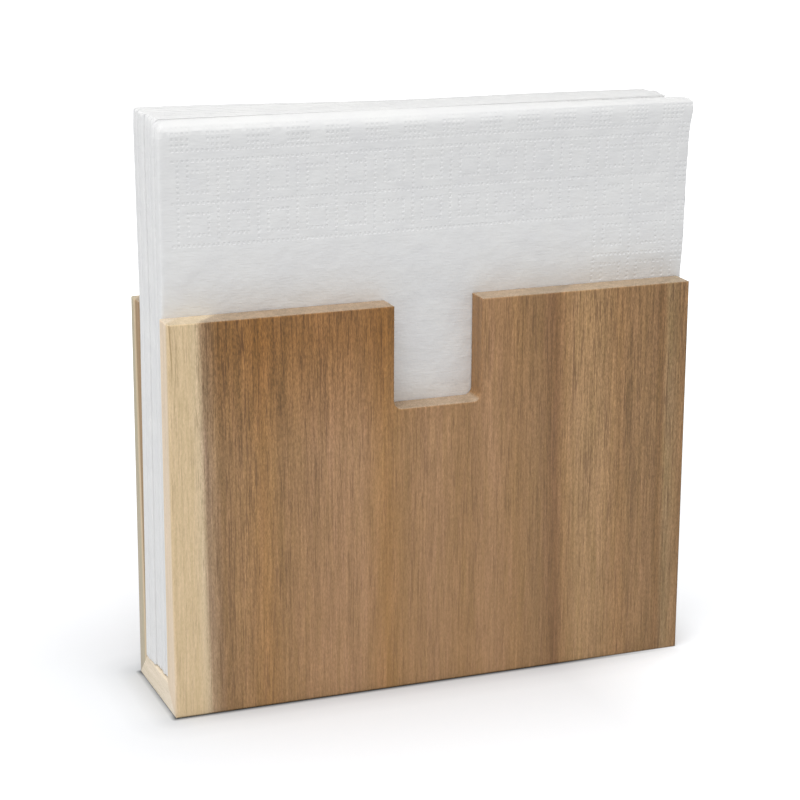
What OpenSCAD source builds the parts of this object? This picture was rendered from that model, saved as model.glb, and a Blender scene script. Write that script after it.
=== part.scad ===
// Napkin holder: three solid acacia boards mitred and glued into a U, with a stack of folded
// paper napkins standing in it.
// Millimetres. The origin is the middle of the footprint on the table, +Z is up, and the front
// board, the one with the finger notch, faces -Y.

/* [Napkins] */
// Side of a napkin folded into quarters
napkin_side = 165; // [125:1:200]
// Thickness of one leaf of tissue
leaf_t = 0.3; // [0.2:0.05:0.4]
// Number of napkins in the stack
napkin_count = 10; // [6:1:12]
// Clearance between neighbouring napkins, and between them and the boards
napkin_gap = 0.25; // [0.1:0.05:0.5]

/* [Boards] */
// Thickness of the boards
board_t = 8.5; // [6:0.5:12]
// Height of the front and back boards
board_h = 120; // [90:1:150]
// Depth of the channel between the boards
channel_d = 22.5; // [18:0.5:40]
// Length of board beyond the napkins at each end
end_margin = 0.5; // [0:0.5:5]
// Radius of the eased edges
ease_r = 0.6; // [0.3:0.1:1.2]

/* [Finger notch] */
// Width of the notch in the front board
notch_w = 28; // [20:1:50]
// Depth of the notch below the top of the board
notch_deep = 31.5; // [15:0.5:60]
// Radius of the two corners at the notch's floor
notch_r = 2.5; // [1.5:0.5:6]

/* [Mitre splines] */
// Thickness of the splines
spline_t = 2.5; // [2:0.1:3]
// Width of the splines, half of it in each board
spline_w = 5.5; // [4:0.5:6]
// Distance from the end of a spline to the end of the board
spline_stop = 12; // [8:1:25]

/* [Hidden] */
// How far a cutting tool runs past the wood
overrun = 1;
// Glue room round a spline in its groove, on each side
glue_gap = 0.05;
// Clearance under the napkins
rest_gap = 0.2;
// Place of the spline along the mitre, from the outer corner to the inner one
spline_place_share = 0.58;
leaves = 4;
// Flat faces that a fold is drawn with
fold_facets = 8;
$fn = 48;

holder_w = napkin_side + 2 * end_margin;
holder_d = channel_d + 2 * board_t;
notch_floor_z = board_h - notch_deep;
spline_len = holder_w - 2 * spline_stop;
spline_from_corner = spline_place_share * board_t;
napkin_t = (channel_d - (napkin_count + 1) * napkin_gap) / napkin_count;
napkin_pitch = napkin_t + napkin_gap;
leaf_gap = (napkin_t - leaves * leaf_t) / (leaves - 1);
leaf_pitch = leaf_t + leaf_gap;
// Outer radius of the fold round all the leaves, and of a fold round two of them
whole_fold_r = napkin_t / 2;
pair_fold_r = (leaf_pitch + leaf_t) / 2;

function napkin_name(i) = str("napkin_", i < 10 ? "0" : "", i);

// Extrusions of a flat outline along each axis, from the origin
module extrude_x(length) {
    rotate([90, 0, 90]) linear_extrude(length) children();
}

module extrude_y(length) {
    translate([0, length, 0]) rotate([90, 0, 0]) linear_extrude(length) children();
}

// What easing takes off a right-angled corner at the origin, when the wood lies towards -x, -y
module corner_waste() {
    translate([-ease_r, -ease_r]) difference() {
        square(ease_r + overrun);
        circle(r = ease_r);
    }
}

// Rectangle with a corner at the origin and all four corners eased
module eased_rect(w, h) {
    difference() {
        square([w, h]);
        translate([w, h]) corner_waste();
        translate([0, h]) mirror([1, 0]) corner_waste();
        translate([w, 0]) mirror([0, 1]) corner_waste();
        rotate(180) corner_waste();
    }
}

// Waste of the mitre through an outer corner at the origin, on the side of the base board
module mitre_waste() {
    far = board_t + overrun;
    polygon([[-overrun, -overrun], [far, -overrun], [far, far]]);
}

// Front or back board before notch and groove, with its outer face on y = 0
module upright_blank() {
    intersection() {
        translate([-holder_w / 2, 0, 0]) extrude_x(holder_w) difference() {
            eased_rect(board_t, board_h);
            mitre_waste();
        }
        translate([-holder_w / 2, 0, 0]) extrude_y(board_t) eased_rect(holder_w, board_h);
        translate([-holder_w / 2, 0, 0]) linear_extrude(board_h) eased_rect(holder_w, board_t);
    }
}

// Spline and groove share this bar, which lies square across the mitre of the front corner
module spline_bar(clearance) {
    translate([0, spline_from_corner - holder_d / 2, spline_from_corner])
        rotate([45, 0, 0])
            cube([
                spline_len + 2 * clearance,
                spline_t + 2 * clearance,
                spline_w + 2 * clearance
            ], center = true);
}

// Easing along one rim of the notch, the rim on the plane y = 0 and the wood towards +y
module notch_rim_waste() {
    straight = notch_deep - notch_r + overrun;
    for (side = [0, 1]) mirror([side, 0, 0]) {
        translate([notch_w / 2, 0, notch_floor_z + notch_r])
            linear_extrude(straight) rotate(180) corner_waste();
        translate([notch_w / 2 - notch_r, 0, notch_floor_z + notch_r])
            rotate([90, 0, 0]) rotate_extrude(angle = -90)
                translate([notch_r, 0]) mirror([1, 0]) corner_waste();
    }
    translate([notch_r - notch_w / 2, 0, notch_floor_z])
        extrude_x(notch_w - 2 * notch_r) rotate(180) mirror([0, 1]) corner_waste();
}

// The finger notch through an upright whose outer face is on y = 0
module notch() {
    through = board_t + 2 * overrun;
    translate([0, -overrun, 0]) extrude_y(through) {
        translate([-notch_w / 2, notch_floor_z + notch_r])
            square([notch_w, notch_deep - notch_r + overrun]);
        translate([notch_r - notch_w / 2, notch_floor_z])
            square([notch_w - 2 * notch_r, notch_deep]);
        for (x = [notch_r - notch_w / 2, notch_w / 2 - notch_r])
            translate([x, notch_floor_z + notch_r]) circle(r = notch_r);
    }
    notch_rim_waste();
    translate([0, board_t, 0]) mirror([0, 1, 0]) notch_rim_waste();
    for (side = [0, 1]) mirror([side, 0, 0])
        translate([notch_w / 2, -overrun, board_h])
            extrude_y(through) mirror([1, 0]) corner_waste();
}

module front_board() {
    color("#a17c55") difference() {
        translate([0, -holder_d / 2, 0]) difference() {
            upright_blank();
            notch();
        }
        spline_bar(glue_gap);
    }
}

module back_board() {
    color("#9a7650") mirror([0, 1, 0]) difference() {
        translate([0, -holder_d / 2, 0]) upright_blank();
        spline_bar(glue_gap);
    }
}

module base_board() {
    color("#a8845c") difference() {
        translate([-holder_w / 2, -holder_d / 2, 0]) intersection() {
            extrude_x(holder_w) difference() {
                eased_rect(holder_d, board_t);
                mirror([1, -1]) mitre_waste();
                translate([holder_d, 0]) mirror([1, 0]) mirror([1, -1]) mitre_waste();
            }
            extrude_y(holder_d) eased_rect(holder_w, board_t);
        }
        spline_bar(glue_gap);
        mirror([0, 1, 0]) spline_bar(glue_gap);
    }
}

module front_spline() {
    color("#d9bd8b") spline_bar(0);
}

module back_spline() {
    color("#d9bd8b") mirror([0, 1, 0]) spline_bar(0);
}

// Where the front and back of leaf k lie in its napkin, counted from 0 at the napkin's front
function leaf_front(k) = k * leaf_pitch;
function leaf_back(k) = k * leaf_pitch + leaf_t;

// Half circle from one place on the line y = base to another, dipping below it
function dip(from, to, base) = [
    for (k = [0 : fold_facets])
        let (turn = 180 * k / fold_facets, r = (to - from) / 2)
            [from + r - r * cos(turn), base - abs(r) * sin(turn)]
];

// Outline of the fold that joins leaves a and b, with both running on to y = leg_end
function folded(a, b, base, leg_end) = concat(
    [[leaf_front(a), leg_end]],
    dip(leaf_front(a), leaf_back(b), base),
    [[leaf_back(b), leg_end], [leaf_front(b), leg_end]],
    dip(leaf_front(b), leaf_back(a), base),
    [[leaf_back(a), leg_end]]
);

// One napkin folded into quarters, number i counted from the front. Its left end holds one
// fold inside the other, its bottom two folds side by side, and its top and right are open.
module napkin(i) {
    first_y = napkin_gap - channel_d / 2;
    color("#e9e9e9")
        translate([-napkin_side / 2, first_y + (i - 1) * napkin_pitch, board_t + rest_gap])
            intersection() {
                translate([-overrun, -overrun, -overrun])
                    cube([napkin_side + overrun, napkin_t + 2 * overrun, napkin_side + overrun]);
                union() {
                    for (pair = [[0, 1], [2, 3]])
                        translate([whole_fold_r, 0, 0]) extrude_x(napkin_side)
                            polygon(folded(pair[0], pair[1], pair_fold_r, napkin_side + overrun));
                    for (pair = [[0, 3], [1, 2]])
                        translate([0, 0, pair_fold_r]) linear_extrude(napkin_side)
                            mirror([1, -1]) polygon(
                                folded(pair[0], pair[1], whole_fold_r, 2 * whole_fold_r));
                }
            }
}

front_board();
base_board();
back_board();
front_spline();
back_spline();
for (i = [1 : napkin_count])
    napkin(i);
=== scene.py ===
"""Looks of the napkin holder: three oiled acacia boards round a stack of embossed paper napkins."""

import math

import bpy
import numpy as np
from mathutils import Matrix, Vector


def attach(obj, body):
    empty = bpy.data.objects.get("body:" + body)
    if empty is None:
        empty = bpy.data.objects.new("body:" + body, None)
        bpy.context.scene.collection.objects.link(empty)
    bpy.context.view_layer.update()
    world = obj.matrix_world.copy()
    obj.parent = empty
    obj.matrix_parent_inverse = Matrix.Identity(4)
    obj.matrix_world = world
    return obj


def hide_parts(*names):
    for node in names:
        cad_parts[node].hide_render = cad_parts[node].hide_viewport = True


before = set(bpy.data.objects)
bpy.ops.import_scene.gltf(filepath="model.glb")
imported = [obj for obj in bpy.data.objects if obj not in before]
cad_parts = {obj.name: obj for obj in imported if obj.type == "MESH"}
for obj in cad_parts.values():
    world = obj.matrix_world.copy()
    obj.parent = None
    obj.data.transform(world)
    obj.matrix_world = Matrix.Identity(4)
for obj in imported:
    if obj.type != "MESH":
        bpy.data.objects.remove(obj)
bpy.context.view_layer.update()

MM = 0.001

# The holder, in millimetres, as the CAD has it
BOARD_LONG = 166.0
BOARD_HIGH = 120.0
FRONT_FACE = -19.75
BACK_INSIDE = 11.25
BASE_TOP = -8.5  # once the base's grain is stood up, its top faces -Y

# The napkins, in millimetres
NAPKINS = 10
FOLDED_SIDE = 165.0
TISSUE = 0.53  # three plies, puffed up by the embossing
LEAF_PITCH = 0.5583
NAPKIN_PITCH = 2.225
LEFT_EDGE = -82.5
FIRST_FRONT = -11.0
STANDS_AT = 8.7
FOLD_MIDDLE = 0.9875  # how far behind FIRST_FRONT the middle of the front napkin's fold lies

# The embossed border, in millimetres. The roller's pins stand on a grid, and the border
# repeats every few pins. Its outer dotted line is pin 0, counted inwards.
PIN_ACROSS = 1.473
PIN_DOWN = 1.505
SIDE_MARGIN = 3.55
TOP_MARGIN = 7.0
FIRST_SIDE_PIN = -2
FIRST_TOP_PIN = -4
LAST_BORDER_PIN = 18
BORDER_REPEAT = 8
PINS_ACROSS = 107
PINS_DOWN = 103
PIN_DEEP = 0.085
PIN_RIM = 0.45
PIN_FLOOR = 0.31


def look_from(name, place, yaw, pitch, roll, lens):
    """A camera turned by yaw to the right of +Y, pitch down and roll, in degrees."""
    yaw, pitch, roll = (math.radians(angle) for angle in (yaw, pitch, roll))
    ahead = Vector((math.sin(yaw) * math.cos(pitch), math.cos(yaw) * math.cos(pitch), -math.sin(pitch)))
    level = Vector((math.cos(yaw), -math.sin(yaw), 0))
    above = level.cross(ahead)
    right = level * math.cos(roll) + above * math.sin(roll)
    up = above * math.cos(roll) - level * math.sin(roll)
    data = bpy.data.cameras.new(name)
    data.lens, data.sensor_width = lens, 36
    data.clip_start, data.clip_end = 0.05, 20
    camera = bpy.data.objects.new(name, data)
    bpy.context.scene.collection.objects.link(camera)
    turn = Matrix((right, up, -ahead)).transposed().to_4x4()
    camera.matrix_world = Matrix.Translation(place) @ turn
    bpy.context.scene.camera = camera


look_from("photo_camera", (-0.2587, -0.6510, 0.2807), yaw=21.325, pitch=15.620, roll=0.282, lens=106.9)

scene = bpy.context.scene
scene.view_settings.view_transform = "Standard"


# Colours and nodes


def hue(code):
    """An sRGB hex colour as the linear RGBA that the nodes take."""
    parts = [int(code[i : i + 2], 16) / 255 for i in (1, 3, 5)]
    return tuple(c / 12.92 if c <= 0.04045 else ((c + 0.055) / 1.055) ** 2.4 for c in parts) + (1.0,)


def new_material(name):
    """A material with nothing but its Principled shader, its node tree and that shader."""
    material = bpy.data.materials.new(name)
    material.use_nodes = True
    return material, material.node_tree, material.node_tree.nodes["Principled BSDF"]


def plug(tree, made, sockets):
    """Fills a node's sockets, in order or by name: sets them to values, or links them to an
    output, or to a node's first output in use."""
    for key, value in sockets.items() if isinstance(sockets, dict) else enumerate(sockets):
        if isinstance(value, bpy.types.Node):
            value = next(output for output in value.outputs if output.enabled)
        if isinstance(value, bpy.types.NodeSocket):
            tree.links.new(value, made.inputs[key])
        else:
            made.inputs[key].default_value = value


def node(tree, kind, sockets=(), **settings):
    """Adds a node with its settings, and fills its sockets."""
    made = tree.nodes.new("ShaderNode" + kind)
    for name, value in settings.items():
        setattr(made, name, value)
    plug(tree, made, sockets)
    return made


# Wood


WHITE_SAP = "#efe7d4"
ROSY_SAP = "#efdbc1"
CREAM_SAP = "#ead5ba"
SAPWOOD = "#e0c69d"
GREY_SAP = "#bdb19e"
OLIVE_SAP = "#bfb499"
SAP_EDGE = "#e1c9a5"
OLIVE_HEART = "#a2855f"
GREY_HEART = "#ac8f71"
BROWN_HEART = "#9c7953"
TAN_HEART = "#a57f56"
GOLD_HEART = "#a97f50"
PINK_HEART = "#ad8660"
LIGHT_HEART = "#af8b62"
UMBER_HEART = "#93704a"
DARK_RING = "#8c6846"
END_GRAIN = "#c1b7a5"
PORE = "#6e5138"
CRACK = "#7c5a2e"
AGED = "#d7c18d"  # what the darker patch at the top of the front board takes from the light
BEECH_FLECK = "#b98f63"
BEECH = "#dcbf94"

# Marks in acacia, drawn out along its grain: how wide and how long each is, in millimetres, and
# how many rounds of finer detail break it up
BAND_WANDER = (16, 150, 2)
STREAK = (2.2, 50, 2)
FIBRE = (0.55, 14, 2)
HAIR = (0.3, 1.0, 3)
TINT_PATCH = (2.0, 26, 2)
PORE_CROWD = (3.0, 60, 1)
OPEN_PORE = (0.3, 8.0, 1)

# How far the marks darken and lighten the wood, and shift its blue and its red
STREAK_TONE = (0.88, 1.12)
FIBRE_TONE = (0.83, 1.17)
HAIR_TONE = (0.78, 1.22)
PATCH_BLUE = (0.953, 1.04)
PATCH_RED = (0.99, 1.01)
TONE_BLUE = (0.95, 1.05)

NOISE = (0.3, 0.7)  # nearly all of a noise lies between these

# Pores: which streaks of the crowding noise are sparse and which crowded, how far that lowers
# the pores' own noise in each, where in that noise a pore's edge lies, and how dark a pore is
PORE_STREAKS = (0.35, 0.65)
PORES_LOWERED = (0.1, -0.02)
PORE_EDGE = (0.55, 0.65)
PORE_DARK = 0.5

# Places on a board, in millimetres up from its foot, to the right of its middle, or outwards
# from the middle. Those of the sapwood's edge are among the bands.
AGED_UP = (78, 112)  # the aged patch darkens upwards over these
AGED_RIGHT = (-14, 6)  # and fades to the right over these, down to AGED_AT_RIGHT
AGED_PAST_SAP = (8, 16)
AGED_AT_RIGHT = 0.25
HEART_FROM = (8.5, 11.5)  # where sapwood's even texture gives way to heartwood's
PLAIN_UP = (20, 90)  # the texture grows upwards over these
PLAIN_OUT = (20, 60)  # and outwards over these

# How strong the texture is in sapwood, low on the board, at its middle and at its sides, and
# how much the aged patch adds
SAP_TEXTURE = 0.36
LOW_TEXTURE = 0.72
MIDDLE_TEXTURE = 0.82
SIDE_TEXTURE = 1.2
AGED_TEXTURE = 0.6

# The drying check, in millimetres: two heights, how far left of the middle it is at each, the
# heights over which it fades in, how far it wanders, how deep it is, and how far from its
# middle it starts and ends to fade
CHECK_UP = (106, 120)
CHECK_LEFT = (81.75, 82.5)
CHECK_FADES_IN = (103, 111)
CHECK_WANDERS = 0.3
CHECK_DEEP = 0.3
CHECK_EDGE = (0.05, 0.22)

END_FACING = (0.55, 0.85)  # from long grain to end grain, as the surface turns to the board's end
END_PALER = 0.45
OILED_ROUGHNESS = (0.52, 0.68)

# Growth bands across a board: how far from its left end each lies at half height, in
# millimetres, and its hue. The rings run aslant, so those before 0 show only on the end.
FIRST_BAND = -8
FRONT_BANDS = (
    (FIRST_BAND, CREAM_SAP), (-1.2, CREAM_SAP), (0.2, SAPWOOD), (7.0, SAPWOOD), (9.5, SAP_EDGE),
    (11.0, GREY_HEART), (15.5, BROWN_HEART), (22, TAN_HEART), (28, GOLD_HEART), (34, TAN_HEART),
    (47, PINK_HEART), (59, PINK_HEART), (66, GOLD_HEART), (73, TAN_HEART), (82, PINK_HEART),
    (92, TAN_HEART), (101, PINK_HEART), (109, TAN_HEART), (116, BROWN_HEART), (122.5, DARK_RING),
    (124.5, TAN_HEART), (129, LIGHT_HEART), (137, LIGHT_HEART), (144, TAN_HEART), (147.5, BROWN_HEART),
    (155.5, BROWN_HEART), (157, UMBER_HEART), (158, UMBER_HEART), (160, OLIVE_HEART), (164.5, BROWN_HEART),
)
BACK_BANDS = (
    (FIRST_BAND, GREY_SAP), (-4.0, OLIVE_SAP), (-2.2, SAP_EDGE), (-1.2, OLIVE_HEART), (3, GREY_HEART),
    (12, BROWN_HEART), (24, TAN_HEART), (35, PINK_HEART), (52, GOLD_HEART), (60, BROWN_HEART),
    (64, TAN_HEART), (83, PINK_HEART), (97, TAN_HEART), (104, DARK_RING), (106, TAN_HEART),
    (120, PINK_HEART), (138, GOLD_HEART), (150, TAN_HEART), (161, BROWN_HEART),
)
BASE_BANDS = (
    (FIRST_BAND, WHITE_SAP), (3, ROSY_SAP), (10, SAP_EDGE), (13, GREY_HEART), (26, TAN_HEART),
    (48, PINK_HEART), (70, BROWN_HEART), (76, TAN_HEART), (101, PINK_HEART), (118, DARK_RING),
    (121, GOLD_HEART), (145, TAN_HEART), (160, BROWN_HEART),
)


def acacia(name, bands, grain_turn, face, aslant, leaning, shift, end_axis, aged=0.0, check=0.0):
    """Solid acacia, sawn, sanded fine and oiled: satin, with brown heartwood in soft bands,
    cream sapwood, straight fibres and short fine pores along the grain. grain_turn stands the
    grain up along Z. The bands are given on the plane Y = face, and move aslant millimetres
    to the right for each one deeper, and leaning millimetres to the left over the board's
    height. shift moves the fibres so that no two boards match, end_axis is the axis, 1 or 2,
    along which the grain runs on the board, aged is how dark the wood has turned at the top
    left, and check how dark its crack is."""
    material, tree, shader = new_material(name)
    coords = node(tree, "TexCoord")
    plank = node(
        tree, "Mapping", {"Vector": coords.outputs["Object"], "Rotation": grain_turn, "Scale": (1 / MM,) * 3}
    )
    moved = node(tree, "Mapping", {"Vector": plank, "Location": shift})

    def along_grain(wide, long, detail):
        """Noise drawn out along the grain, with grains of that width and length in millimetres."""
        stretched = node(tree, "Mapping", {"Vector": moved, "Scale": (1 / wide, 1 / wide, 1 / long)})
        return node(tree, "TexNoise", {"Vector": stretched, "Scale": 1.0, "Detail": detail})

    # The bands wander 1 mm, lean to the side over the height and cross the thickness aslant
    place = node(tree, "SeparateXYZ", (plank,)).outputs
    middle = BOARD_LONG / 2
    wander = node(tree, "MapRange", (along_grain(*BAND_WANDER), *NOISE, middle - 0.5, middle + 0.5))
    lean = node(tree, "MapRange", (place["Z"], 0, BOARD_HIGH, -leaning / 2, leaning / 2))
    deeper = node(tree, "Math", (place["Y"], -aslant, face * aslant), operation="MULTIPLY_ADD")
    along = node(tree, "Math", (place["X"], wander), operation="ADD")
    aside = node(tree, "Math", (lean, deeper), operation="ADD")
    ring = node(tree, "Math", (along, aside), operation="ADD")
    ramp = node(tree, "ValToRGB", (node(tree, "MapRange", (ring, FIRST_BAND, BOARD_LONG, 0, 1)),))
    stops = ramp.color_ramp.elements
    stops[0].color, stops[1].color = hue(bands[0][1]), hue(bands[-1][1])
    for far, code in bands[1:]:
        stops.new((far - FIRST_BAND) / (BOARD_LONG - FIRST_BAND)).color = hue(code)

    # Streaks, fibres and hairs set the tone, and patches are pinker or more golden
    streaks = node(tree, "MapRange", (along_grain(*STREAK), *NOISE, *STREAK_TONE))
    fibres = node(tree, "MapRange", (along_grain(*FIBRE), *NOISE, *FIBRE_TONE))
    fine = along_grain(*HAIR)
    hairs = node(tree, "MapRange", (fine, *NOISE, *HAIR_TONE))
    tone = node(tree, "Math", (streaks, fibres), operation="MULTIPLY")
    tone = node(tree, "Math", (tone, hairs), operation="MULTIPLY")
    heart = node(tree, "MapRange", (ring, *HEART_FROM, 0, 1))
    patch = node(tree, "Math", (along_grain(*TINT_PATCH), 0.5), operation="SUBTRACT")
    patch = node(tree, "Math", (patch, heart, 0.5), operation="MULTIPLY_ADD")
    patch_blue = node(tree, "MapRange", (patch, *NOISE, *PATCH_BLUE))
    tone_blue = node(tree, "MapRange", (tone, 0.7, 1.3, *TONE_BLUE))
    blue = node(tree, "Math", (patch_blue, tone_blue), operation="MULTIPLY")
    tint = node(tree, "CombineXYZ", (node(tree, "MapRange", (patch, *NOISE, *PATCH_RED)), 1.0, blue))

    # Pores are crowded in some streaks and sparse in others
    crowded = node(tree, "MapRange", (along_grain(*PORE_CROWD), *PORE_STREAKS, *PORES_LOWERED))
    pore = node(tree, "Math", (along_grain(*OPEN_PORE), crowded), operation="SUBTRACT")
    pore = node(tree, "MapRange", (pore, *PORE_EDGE, 0, PORE_DARK))

    # The wood has aged at the top left, but for the sapwood
    high = node(tree, "MapRange", (place["Z"], *AGED_UP, 0, aged))
    left = node(tree, "MapRange", (place["X"], *AGED_RIGHT, 1, AGED_AT_RIGHT))
    older = node(tree, "Math", (high, left), operation="MULTIPLY")
    past_sap = node(tree, "MapRange", (ring, *AGED_PAST_SAP, 0, 1))
    older = node(tree, "Math", (older, past_sap), operation="MULTIPLY")

    # The texture stands out more towards the top and the sides, and most where the wood has aged.
    # Sapwood is even: tone and pores fade over it
    in_heart = node(tree, "MapRange", (heart, 0, 1, SAP_TEXTURE, 1))
    upwards = node(tree, "MapRange", (place["Z"], *PLAIN_UP, LOW_TEXTURE, 1))
    sides = node(tree, "Math", (place["X"],), operation="ABSOLUTE")
    sides = node(tree, "MapRange", (sides, *PLAIN_OUT, MIDDLE_TEXTURE, SIDE_TEXTURE))
    strength = node(tree, "Math", (in_heart, upwards), operation="MULTIPLY")
    strength = node(tree, "Math", (strength, sides), operation="MULTIPLY")
    strength = node(tree, "Math", (older, AGED_TEXTURE, strength), operation="MULTIPLY_ADD")
    uneven = node(tree, "Math", (tone, 1.0), operation="SUBTRACT")
    shading = node(tree, "Math", (uneven, strength, 1.0), operation="MULTIPLY_ADD")
    tinted = node(tree, "VectorMath", (ramp, tint), operation="MULTIPLY")
    toned = node(tree, "VectorMath", {0: tinted, "Scale": shading}, operation="SCALE")
    open_pore = node(tree, "Math", (pore, strength), operation="MULTIPLY")
    pored = node(tree, "Mix", {"Factor": open_pore, "A": toned, "B": hue(PORE)}, data_type="RGBA")
    darkened = {"Factor": older, "A": pored, "B": hue(AGED)}
    wood = node(tree, "Mix", darkened, data_type="RGBA", blend_type="MULTIPLY")

    # A drying check, a hair crack along the grain, in the front face near its left edge
    if check:
        off = node(tree, "MapRange", (place["Z"], *CHECK_UP, *CHECK_LEFT))
        off = node(tree, "Math", (place["X"], off), operation="ADD")
        wavy = node(tree, "MapRange", (wander, middle - 1, middle + 1, -CHECK_WANDERS, CHECK_WANDERS))
        off = node(tree, "Math", (off, wavy), operation="ADD")
        off = node(tree, "Math", (off,), operation="ABSOLUTE")
        at_face = node(tree, "MapRange", (place["Y"], face, face + CHECK_DEEP, check, 0))
        fading = node(tree, "MapRange", (place["Z"], *CHECK_FADES_IN, 0, 1))
        fading = node(tree, "Math", (at_face, fading), operation="MULTIPLY")
        crack = node(tree, "MapRange", (off, *CHECK_EDGE, 1, 0))
        crack = node(tree, "Math", (fading, crack), operation="MULTIPLY")
        wood = node(tree, "Mix", {"Factor": crack, "A": wood, "B": hue(CRACK)}, data_type="RGBA")

    # End grain is paler and shows the pores as dots
    facing = node(tree, "SeparateXYZ", (coords.outputs["Normal"],)).outputs[end_axis]
    facing = node(tree, "Math", (facing,), operation="ABSOLUTE")
    is_end = node(tree, "MapRange", (facing, *END_FACING, 0, END_PALER))
    sawn = node(tree, "VectorMath", {0: hue(END_GRAIN)[:3], "Scale": tone}, operation="SCALE")
    colour = node(tree, "Mix", {"Factor": is_end, "A": wood, "B": sawn}, data_type="RGBA")

    satin = node(tree, "MapRange", (fine, 0, 1, *OILED_ROUGHNESS))
    relief = node(tree, "Math", (fine, pore), operation="SUBTRACT")
    bump = node(tree, "Bump", {"Height": relief, "Strength": 0.5, "Distance": 0.04 * MM})
    plug(tree, shader, {"Base Color": colour, "Roughness": satin, "IOR": 1.45, "Normal": bump})
    return material


def beech():
    """Beech, planed smooth: pale and even, with short brown ray flecks 0.3 mm wide."""
    material, tree, shader = new_material("beech_planed")
    coords = node(tree, "TexCoord").outputs["Object"]
    along = node(tree, "Mapping", {"Vector": coords, "Scale": (1 / (3 * MM), 1 / (0.3 * MM), 1 / (0.3 * MM))})
    fleck = node(tree, "TexNoise", {"Vector": along, "Scale": 1.0, "Detail": 2.0})
    ramp = node(tree, "ValToRGB", (fleck,))
    dark, light = ramp.color_ramp.elements
    dark.position, dark.color = 0.35, hue(BEECH_FLECK)
    light.position, light.color = 0.6, hue(BEECH)
    bump = node(tree, "Bump", {"Height": fleck, "Strength": 0.4, "Distance": 0.03 * MM})
    plug(tree, shader, {"Base Color": ramp, "Roughness": 0.6, "Normal": bump})
    return material


def finish_board(name, material):
    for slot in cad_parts[name].material_slots:
        slot.material = material


UPRIGHT = (0, 0, 0)
LYING = (math.pi / 2, 0, 0)

front_wood = acacia(
    "acacia_oiled_front", FRONT_BANDS, UPRIGHT, face=FRONT_FACE, aslant=0.88, leaning=1.9,
    shift=(11, 4, 7), end_axis=2, aged=0.8, check=0.6,
)
back_wood = acacia(
    "acacia_oiled_back", BACK_BANDS, UPRIGHT, face=BACK_INSIDE, aslant=0.88, leaning=3.2,
    shift=(431, 52, 310), end_axis=2,
)
base_wood = acacia(
    "acacia_oiled_base", BASE_BANDS, LYING, face=BASE_TOP, aslant=0.3, leaning=0.6,
    shift=(823, 91, 640), end_axis=1,
)
finish_board("front_board", front_wood)
finish_board("back_board", back_wood)
finish_board("base_board", base_wood)
spline_wood = beech()
finish_board("front_spline", spline_wood)
finish_board("back_spline", spline_wood)


# The napkins. A sheet is drawn flat, with a and b running from its corner of open edges to
# 330 mm and w up from the middle of the tissue, then pressed with the pins and folded.


TISSUE_SHADE = "#e7e7e7"
TISSUE_WHITE = "#ebebea"


def tissue_paper():
    """Bleached tissue paper, creped and embossed: soft matt white, with fine level ridges 0.5 mm apart."""
    material, tree, shader = new_material("tissue_paper_embossed")
    coords = node(tree, "TexCoord").outputs["Object"]
    cloudy = node(tree, "TexNoise", {"Vector": coords, "Scale": 1 / (9 * MM), "Detail": 3.0})
    ramp = node(tree, "ValToRGB", (cloudy,))
    shade, white = ramp.color_ramp.elements
    shade.position, shade.color = 0.3, hue(TISSUE_SHADE)
    white.position, white.color = 0.7, hue(TISSUE_WHITE)
    across = node(tree, "Mapping", {"Vector": coords, "Scale": (1 / (3 * MM), 1 / (3 * MM), 1 / (0.5 * MM))})
    crepe = node(tree, "TexNoise", {"Vector": across, "Scale": 1.0, "Detail": 3.0})
    puckers = node(tree, "TexNoise", {"Vector": coords, "Scale": 1 / (6 * MM), "Detail": 3.0})
    relief = node(tree, "Math", (puckers, 5.0, crepe), operation="MULTIPLY_ADD")
    bump = node(tree, "Bump", {"Height": relief, "Strength": 1.0, "Distance": 0.09 * MM})
    plug(tree, shader, {"Base Color": ramp, "Roughness": 0.85, "Specular IOR Level": 0.2, "Normal": bump})
    return material


def is_pressed(across, down):
    """Whether the roller has a pin there. The border is drawn along the top, and turned for the
    side: teeth outside a dotted line, and inside it two rows of square frames, each with a
    smaller square in it."""

    def in_border(along, inward):
        if not FIRST_TOP_PIN <= inward <= LAST_BORDER_PIN:
            return False
        step = along % BORDER_REPEAT
        if inward == 0:
            return True
        if inward < 0:
            return step <= 4
        if inward < 2 or along < 2:
            return False
        if inward in (2, 10, 18) or step == 2:
            return True
        if inward in (4, 8, 12, 16):
            return step >= 4 or step == 0
        return step in (0, 4) and (inward < 8 or 12 < inward < 16)

    return in_border(across, down) or in_border(down, across)


def fold_lines(half_turn, margin, pitch, last_pin, arc_steps):
    """Lines across a leaf from the last pin to the middle of a fold with that half turn of arc."""
    last = margin + (last_pin + 0.5) * pitch
    start = FOLDED_SIDE - half_turn
    arc = [start + half_turn * k / arc_steps for k in range(arc_steps + 1)]
    return [(last + start) / 2, *arc]


HALF_PAIR = LEAF_PITCH / 2
ROUND_LEFT = LEAF_PITCH
LEFT_HALF_TURN = math.pi * ROUND_LEFT / 2
PAIR_HALF_TURN = math.pi * HALF_PAIR / 2
LEFT_ARC_STEPS = 4
PAIR_ARC_STEPS = 3
BLOCK = 4  # a plain part of the sheet is drawn in blocks of this many pins
FINE_ROWS = 6  # and in single rows near the top, where the stack's edge curls


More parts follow.
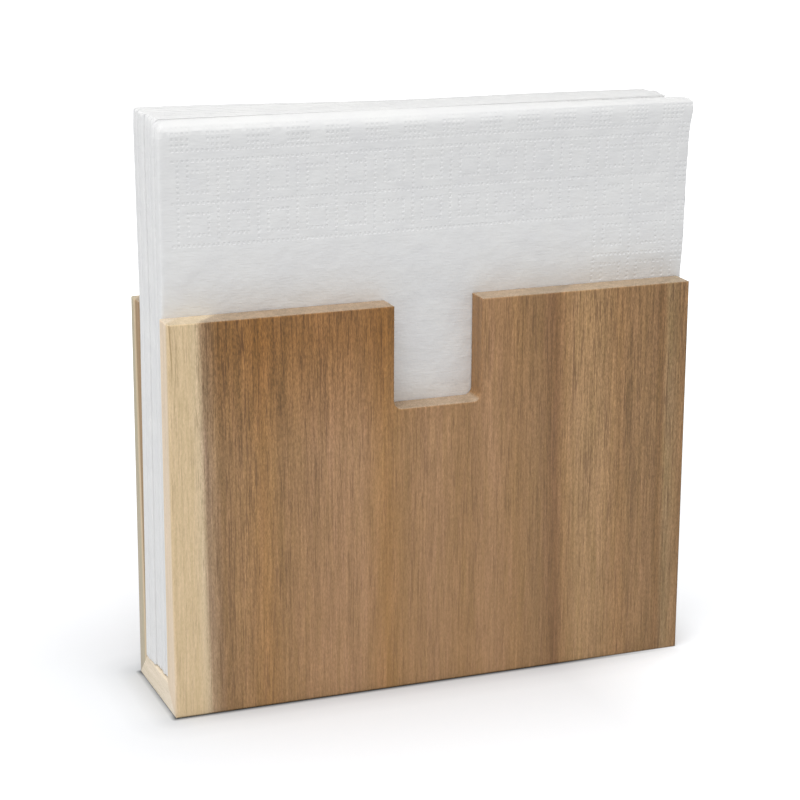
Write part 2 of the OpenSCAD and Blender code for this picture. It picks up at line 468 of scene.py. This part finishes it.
def sheet_lines():
    """The lines that cut the flat sheet into cells, both ways, and which of them bound blocks."""
    side = [0.0] + [SIDE_MARGIN + (k + 0.5) * PIN_ACROSS for k in range(FIRST_SIDE_PIN - 1, PINS_ACROSS + 1)]
    front = side + fold_lines(LEFT_HALF_TURN, SIDE_MARGIN, PIN_ACROSS, PINS_ACROSS, LEFT_ARC_STEPS)
    across = front + [2 * FOLDED_SIDE - a for a in reversed(front[:-1])]
    bounds = [0, 1, *range(1 + BLOCK, len(side), BLOCK)]
    bounds += list(range(max(bounds) + 1, len(front)))
    bounds += [len(across) - 1 - i for i in reversed(bounds[:-1])]

    rows = range(FIRST_TOP_PIN - 1, PINS_DOWN + 1)
    top = [0.0] + [TOP_MARGIN + (k + 0.5) * PIN_DOWN for k in rows]
    outer = top + fold_lines(PAIR_HALF_TURN, TOP_MARGIN, PIN_DOWN, PINS_DOWN, PAIR_ARC_STEPS)
    down_bounds = [*range(FINE_ROWS), *range(FINE_ROWS, len(top), BLOCK)]
    down_bounds += list(range(max(down_bounds) + 1, len(outer)))
    inner = [2 * FOLDED_SIDE - b for b in (outer[i] for i in reversed(down_bounds[:-1]))]
    down = outer + inner
    down_bounds += list(range(len(outer), len(down)))
    return across, bounds, down, down_bounds, len(side), len(top)


def press_and_cut():
    """The flat sheet's points, as (a, b, w), and its faces, pins pressed in."""
    across, bounds, down, down_bounds, side_lines, top_lines = sheet_lines()
    last_i, last_j = len(across) - 1, len(down) - 1
    half = TISSUE / 2
    points, faces, outer, inner = [], [], {}, {}

    def point(a, b, w):
        points.append((a, b, w))
        return len(points) - 1

    def corner(found, i, j, w):
        if (i, j) not in found:
            found[i, j] = point(across[i], down[j], w)
        return found[i, j]

    def pressed_cell(i, j, side_i):
        """Four corners, and where a pin has pressed a dimple with a rim, a wall and a floor."""
        ring = [corner(outer, *at, half) for at in ((i, j), (i + 1, j), (i + 1, j + 1), (i, j + 1))]
        pin_across, pin_down = side_i + FIRST_SIDE_PIN - 1, j + FIRST_TOP_PIN - 1
        if side_i == 0 or j == 0 or not is_pressed(pin_across, pin_down):
            faces.append(ring)
            return
        a = SIDE_MARGIN + pin_across * PIN_ACROSS
        a = a if i == side_i else 2 * FOLDED_SIDE - a
        b = TOP_MARGIN + pin_down * PIN_DOWN
        for reach, w in ((PIN_RIM, half), (PIN_FLOOR, half - PIN_DEEP)):
            near = [point(a + x * reach, b + y * reach, w) for x, y in ((-1, -1), (1, -1), (1, 1), (-1, 1))]
            faces.extend([ring[k], ring[(k + 1) % 4], near[(k + 1) % 4], near[k]] for k in range(4))
            ring = near
        faces.append(ring)

    def rim_of(i0, i1, j0, j1, used):
        """The places round a block, its corners and those that are used, in order."""
        walk = [(i, j0) for i in range(i0, i1)] + [(i1, j) for j in range(j0, j1)]
        walk += [(i, j1) for i in range(i1, i0, -1)] + [(i0, j) for j in range(j1, j0, -1)]
        corners = {(i0, j0), (i1, j0), (i1, j1), (i0, j1)}
        return [at for at in walk if at in corners or at in used]

    plain = []
    for i0, i1 in zip(bounds, bounds[1:]):
        for j0, j1 in zip(down_bounds, down_bounds[1:]):
            side_i = min(i0, last_i - i1)
            on_leaf = side_i + i1 - i0 < side_lines and j1 < top_lines
            near_side = side_i <= LAST_BORDER_PIN - FIRST_SIDE_PIN + 1
            near_top = j0 <= LAST_BORDER_PIN - FIRST_TOP_PIN + 1
            if not (on_leaf and (near_side or near_top)):
                plain.append((i0, i1, j0, j1))
                continue
            for i in range(i0, i1):
                for j in range(j0, j1):
                    pressed_cell(i, j, min(i, last_i - 1 - i))
    pressed = set(outer)
    for block in plain:
        faces.append([corner(outer, i, j, half) for i, j in rim_of(*block, pressed)])

    def on_rim(i, j):
        return i in (0, last_i) or j in (0, last_j)

    rim = {at for at in outer if on_rim(*at)}
    for i0, i1 in zip(bounds, bounds[1:]):
        for j0, j1 in zip(down_bounds, down_bounds[1:]):
            loop = [corner(inner, i, j, -half) for i, j in rim_of(i0, i1, j0, j1, rim)]
            faces.append(loop[::-1])
    walk = rim_of(0, last_i, 0, last_j, rim)
    for here, ahead in zip(walk, walk[1:] + walk[:1]):
        faces.append([outer[ahead], outer[here], inner[here], inner[ahead]])
    return np.array(points), faces


def fold(flat):
    """Folds the flat sheet in half upwards, then round the left end. Returns the places in the
    napkin's own frame, its middle at y = FOLD_MIDDLE, left edge at x = 0 and bottom at z = 0,
    and for each place which leaf it is on, 0 to 3 from the front."""
    a, b, w = flat.T
    # Folded once: how far each place stands out from the middle of its pair of leaves
    start = FOLDED_SIDE - PAIR_HALF_TURN
    turn = np.clip((b - start) / HALF_PAIR, 0, math.pi)
    out = (HALF_PAIR + w) * np.cos(turn)
    centre_z = HALF_PAIR + TISSUE / 2
    z = centre_z - (HALF_PAIR + w) * np.sin(turn) + np.maximum(start - b, 0)
    z += np.maximum(b - 2 * FOLDED_SIDE + start, 0)
    # Folded twice, and pressed flatter than a half circle in the packet
    start = FOLDED_SIDE - LEFT_HALF_TURN
    turn = np.clip((a - start) / ROUND_LEFT, 0, math.pi)
    radius = ROUND_LEFT + out
    centre_x = ROUND_LEFT + HALF_PAIR + TISSUE / 2
    flatter = 2 / 3
    x = centre_x - radius * np.sin(turn) ** flatter + np.maximum(start - a, 0)
    x += np.maximum(a - 2 * FOLDED_SIDE + start, 0)
    y = FOLD_MIDDLE - radius * np.sign(np.cos(turn)) * np.abs(np.cos(turn)) ** flatter
    leaf = np.where(a < FOLDED_SIDE, np.where(b < FOLDED_SIDE, 0, 1), np.where(b < FOLDED_SIDE, 3, 2))
    return np.stack([x, y, z], axis=1), leaf


def rise_between(low, high, value):
    """0 below low, 1 above high, and smooth between."""
    t = np.clip((value - low) / (high - low), 0, 1)
    return t * t * (3 - 2 * t)


# How each napkin of the stack stands, front to back, in millimetres: how far its left fold is
# set in, how far its open end flares out at the top, and how round its folded top corner is
SET_IN = (0.2, 0.4, 0.15, 0.5, 0.4, 0.4, -0.2, -0.15, -0.35, -0.25)
FLARE = (3.9, 4.0, 4.1, -2.7, -2.4, -1.9, -0.9, -1.6, -1.2, -0.9)
CORNER_ROUND = (3.0, 2.8, 2.4, 1.6, 1.4, 1.2, 0.9, 0.7, 0.6, 0.5)
FLARE_BEND = 2.6  # how late over the height the flare comes
FLARE_LAST = 0.25  # the share of it that comes in the top part
TOP_PART = 0.93  # where that part starts, and the corner's rounding, as a share of the height
SLIP_OUT = 0.7  # how far the rear napkins' feet have slipped out to the left
SLIP_ENDS = 0.7  # and the share of the height over which that fades
DROP_LEFT = 0.37  # how far the pattern's rows run below the cut edge's line at the folded end
CLIMB_RIGHT = 0.55  # and how far above it at the open end
CUT_STRIP = 4.5  # the strip under the cut edge that takes that up

# The napkins lie in three bundles, each with a domed front shoulder. For each bundle: its first
# napkin and the one beyond it, how much taller than a square napkin its front and its rear
# stand at the left, the same at the right, and how far its front leaves dip
BUNDLES = (
    (0, 3, (2.58, 1.97), (1.15, 1.85), 1.0),
    (3, 7, (2.5, 3.15), (1.6, 1.9), 0.15),
    (7, 10, (3.2, 3.75), (1.85, 1.6), 0.3),
)
DIP_DEPTH = 2.6
LEAF_TALLER = (0.0, -0.05, 0.03, -0.04)
SAG = 0.7  # how far the rear napkins' top edges hang down in the middle
SLID_LEFT = (0.75, 1.37)  # how far the rear napkins' tops have slid, at the left end and the right

# The stack's top front edge rolls back over its last SHOULDER millimetres, less at the open
# end, and its left edge rolls in. Both fade out towards the rear.
SHOULDER = 3.0
ROLL_RADIUS = 2.2
ROLL_DEPTH = 6.6
ROLL_LESS_RIGHT = 0.8
LEFT_IN = 1.2  # how far the left edge rolls in, in front
LEFT_IN_LESS = 1.05  # and how much less at the rear
LEFT_IN_BELOW = 1.5  # how far below the shoulder that starts
LEFT_IN_WIDE = 8

# The front napkin bulges over the board's edge, and swells in soft waves and shorter ripples
BULGE = 0.6
BULGE_HEIGHTS = (0.5, 9, 34)  # where it starts, is fullest and ends, above the board
WAVE = 0.16
WAVE_LONG = (27, 19)  # millimetres across and up for each radian of it
RIPPLE = 0.08
RIPPLE_LONG = (11.5, 33)


def stand_in_stack(places, leaf, i):
    """Where the places of napkin i, 0 in front, are once the stack has settled between the boards."""
    x, y, z = places.T.copy()
    along = x / FOLDED_SIDE
    height = z / FOLDED_SIDE
    depth = y + i * NAPKIN_PITCH
    deep = np.clip(depth / (NAPKINS * NAPKIN_PITCH), 0, 1)
    open_end = rise_between(60, 160, x)
    top_part = rise_between(TOP_PART, 1.0, height)
    # The rows of the pattern aren't quite parallel to the cut edge
    climb = (DROP_LEFT + CLIMB_RIGHT) * rise_between(20, 125, x) - DROP_LEFT
    z = z + climb * np.clip((FOLDED_SIDE - z) / CUT_STRIP, 0, 1) * rise_between(20, 110, z)
    # The folded top corner is soft
    near_left = np.clip(CORNER_ROUND[i] - x, 0, CORNER_ROUND[i])
    corner = CORNER_ROUND[i] - np.sqrt(CORNER_ROUND[i] ** 2 - near_left**2)
    z = z - corner * top_part
    # Each bundle's front leaves stand lower, and at the open end the whole bundle does
    first, beyond, left, right, drop = next(bundle for bundle in BUNDLES if i < bundle[1])
    through = (depth / NAPKIN_PITCH - first) / (beyond - first)
    taller_left, taller_right = (end[0] + (end[1] - end[0]) * through for end in (left, right))
    taller = taller_left + (taller_right - taller_left) * along
    domed = np.clip(1 - (depth - first * NAPKIN_PITCH) / DIP_DEPTH, 0, 1) ** 2
    dip = drop * (domed + (1 - domed) * open_end)
    sag = SAG * deep * (rise_between(10, 80, x) - rise_between(80, 140, x))
    z = z + (taller - dip - sag + np.choose(leaf, LEAF_TALLER)) * height
    # The open end flares, and the feet slip out
    flare = (1 - FLARE_LAST) * np.clip(height, 0, 1) ** FLARE_BEND + FLARE_LAST * top_part
    x = x + SET_IN[i] + FLARE[i] * along * flare
    x = x - SLIP_OUT * deep * np.clip(1 - height / SLIP_ENDS, 0, 1)
    # The top edge rolls back, and the paper with it, and the left edge rolls in
    roll = (1 - ROLL_LESS_RIGHT * open_end) * np.clip(1 - depth / ROLL_DEPTH, 0, 1)
    _, _, front_left, front_right, front_drop = BUNDLES[0]
    front_taller = front_left[0] + (front_right[0] - front_left[0]) * along
    start = FOLDED_SIDE + front_taller - front_drop - SHOULDER
    past = np.clip(z - start, 0, None)
    z = z - roll * (past - ROLL_RADIUS * np.arcsinh(past / ROLL_RADIUS))
    past = np.clip(z - start, 0, None)
    y = y + roll * ROLL_RADIUS * (np.cosh(past / ROLL_RADIUS) - 1)
    left_in = LEFT_IN - LEFT_IN_LESS * rise_between(0, 0.7, deep)
    near_top = np.clip((z - start + LEFT_IN_BELOW) / (SHOULDER + LEFT_IN_BELOW), 0, 1.25)
    near_top_left = near_top * np.clip(1 - x / LEFT_IN_WIDE, 0, 1)
    x = x + left_in * near_top_left**2
    x, y, z = x + LEFT_EDGE, y + FIRST_FRONT + i * NAPKIN_PITCH, z + STANDS_AT
    # Above the boards the rear has slid to the left. Only the front napkin bulges and swells, so
    # that the others slide past one another
    above = np.clip((z - BOARD_HIGH + 1) / (FOLDED_SIDE + STANDS_AT - BOARD_HIGH), 0, 1.1)
    slid = SLID_LEFT[0] + (SLID_LEFT[1] - SLID_LEFT[0]) * along
    x = x - slid * deep**1.1 * above**0.75
    bulge_from, bulge_full, bulge_end = (BOARD_HIGH + up for up in BULGE_HEIGHTS)
    bulge = rise_between(bulge_from, bulge_full, z)
    bulge *= 1 - rise_between(bulge_full, bulge_end, z)
    wave = WAVE * np.sin(x / WAVE_LONG[0] + 0.6) * np.sin(z / WAVE_LONG[1] + 0.3)
    wave += RIPPLE * np.sin(x / RIPPLE_LONG[0] + z / RIPPLE_LONG[1])
    in_front = np.clip(1 - depth / NAPKIN_PITCH, 0, 1)
    y = y + (wave * rise_between(0.0, 0.6, above) - BULGE * bulge) * in_front
    return np.stack([x, y, z], axis=1) * MM


def make_napkins():
    flat, faces = press_and_cut()
    places, leaf = fold(flat)
    paper = tissue_paper()
    for i in range(NAPKINS):
        name = f"napkin_{i + 1:02d}"
        mesh = bpy.data.meshes.new(name + "_folded")
        mesh.from_pydata(stand_in_stack(places, leaf, i).tolist(), [], faces)
        mesh.materials.append(paper)
        napkin = bpy.data.objects.new(name + "_folded", mesh)
        scene.collection.objects.link(napkin)
        bpy.ops.object.select_all(action="DESELECT")
        bpy.context.view_layer.objects.active = napkin
        napkin.select_set(True)
        bpy.ops.object.shade_smooth_by_angle(angle=math.radians(30))
        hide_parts(name)
        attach(napkin, name)


make_napkins()


# Floor and light


WHITE_BOARD = "#dddfe2"
ROOM_LIGHT = 0.56  # how strongly the white room lights the holder. The camera sees it at 1

# The floor round the foot, in metres. A painted glow that only the camera sees lifts it to white
# over FADE_REACH, with a small step close to the foot, and sooner at the right, erasing shadow there
HALF_FOOTPRINT = (0.083, 0.01975, 0)
FADE_REACH = 0.6
FADE_BEND = 0.6
FADE_MOST = 0.8
STEP_REACH = (0.002, 0.016)
STEP = 0.09
RIGHT_PART = (0.04, 0.085)
SOONER_REACH = 0.12
SOONER = 0.32

# Painted shadow darkens the floor's colour close to the foot, most in front and not at the right:
# how far it reaches, how bright the floor still is at the foot, in front and at its end, and over
# how far round the corner the one turns into the other. A fainter painted shade reaches further.
CONTACT_SHADE_REACH = 0.0016
CONTACT_SHADE_IN_FRONT = 0.2
CONTACT_SHADE_AT_END = 0.62
CONTACT_SHADE_TURNS = 0.004
FAINT_SHADE_REACH = 0.008
FAINT_SHADE = 0.86


def pale_floor():
    """Matt white board, its colour darkened close to the foot by painted shadow. A painted glow, seen only by
    the camera, turns it plain white away from the holder's foot.
    """
    material, tree, shader = new_material("floor_white_board")
    coords = node(tree, "TexCoord").outputs["Object"]
    spot = node(tree, "VectorMath", (coords,), operation="ABSOLUTE")
    past = node(tree, "VectorMath", (spot, HALF_FOOTPRINT), operation="SUBTRACT")
    outside = node(tree, "VectorMath", (past, (0, 0, 0)), operation="MAXIMUM")
    away = node(tree, "VectorMath", (outside,), operation="LENGTH")
    right = node(tree, "SeparateXYZ", (coords,)).outputs["X"]
    right = node(tree, "MapRange", (right, *RIGHT_PART, 0, 1))
    # Painted light: the camera-only glow grows with distance from the foot, and sooner at the right, so that
    # only a tight shadow is left
    fade = node(tree, "Math", (away, FADE_REACH), operation="DIVIDE")
    fade = node(tree, "Math", (fade, FADE_BEND), operation="POWER")
    fade = node(tree, "Math", (fade, FADE_MOST), operation="MULTIPLY")
    step = node(tree, "MapRange", (away, *STEP_REACH, 0, STEP))
    fade = node(tree, "Math", (fade, step), operation="ADD")
    sooner = node(tree, "MapRange", (away, 0, SOONER_REACH, SOONER, 0))
    fade = node(tree, "Math", (right, sooner, fade), operation="MULTIPLY_ADD")
    # Painted shadow: the floor's colour darkens at the foot and faintly further out, most in front and not at
    # the right
    beside = node(tree, "SeparateXYZ", (past,)).outputs["Y"]
    darkest_shade = node(tree, "MapRange", (beside, -CONTACT_SHADE_TURNS, 0, CONTACT_SHADE_AT_END, CONTACT_SHADE_IN_FRONT))
    contact_shade = node(tree, "MapRange", (away, 0, CONTACT_SHADE_REACH, darkest_shade, 1))
    faint_shade = node(tree, "MapRange", (away, 0, FAINT_SHADE_REACH, FAINT_SHADE, 1))
    unshaded = node(tree, "Math", (contact_shade, faint_shade), operation="MULTIPLY")
    unshaded = node(tree, "Math", (unshaded, right), operation="MAXIMUM")
    # The floor's colour, with the painted shadow multiplied in
    board = node(tree, "VectorMath", {0: hue(WHITE_BOARD)[:3], "Scale": unshaded}, operation="SCALE")
    plug(tree, shader, {"Base Color": board, "Roughness": 0.9, "Specular IOR Level": 0.0})
    seen = node(tree, "LightPath").outputs["Is Camera Ray"]
    glow = node(tree, "Emission", {"Strength": node(tree, "Math", (seen, fade), operation="MULTIPLY")})
    both = node(tree, "AddShader", (shader, glow))
    plug(tree, tree.nodes["Material Output"], {"Surface": both})
    bpy.ops.object.select_all(action="DESELECT")
    bpy.ops.mesh.primitive_plane_add(size=8, location=(0, 0, 0))
    floor = bpy.context.object
    floor.name = "floor"
    floor.data.materials.append(material)


def softbox(name, place, target, size, power):
    """A square studio softbox aimed at a point, its size in metres and its power in watts."""
    data = bpy.data.lights.new(name, "AREA")
    data.energy, data.size = power, size
    lamp = bpy.data.objects.new(name, data)
    lamp.location = place
    lamp.rotation_euler = (Vector(target) - Vector(place)).to_track_quat("-Z", "Y").to_euler()
    scene.collection.objects.link(lamp)


def white_room():
    """Even white light from all round, seen as plain white by the camera and in reflections."""
    world = bpy.data.worlds.new("white_room")
    scene.world = world
    world.use_nodes = True
    tree = world.node_tree
    path = node(tree, "LightPath").outputs
    seen = node(tree, "Math", (path["Is Camera Ray"], path["Is Glossy Ray"]), operation="MAXIMUM")
    seen = node(tree, "Math", (seen, path["Is Transmission Ray"]), operation="MAXIMUM")
    level = node(tree, "MapRange", (seen, 0, 1, ROOM_LIGHT, 1))
    plug(tree, tree.nodes["Background"], {"Color": hue("#ffffff"), "Strength": level})


pale_floor()
white_room()
HOLDER_MIDDLE = (0, 0, 0.1)
softbox("softbox_above", (-0.38, -0.47, 1.45), HOLDER_MIDDLE, size=1.0, power=13.8)
softbox("softbox_left", (-0.85, 0.1, 0.35), HOLDER_MIDDLE, size=0.6, power=0.7)
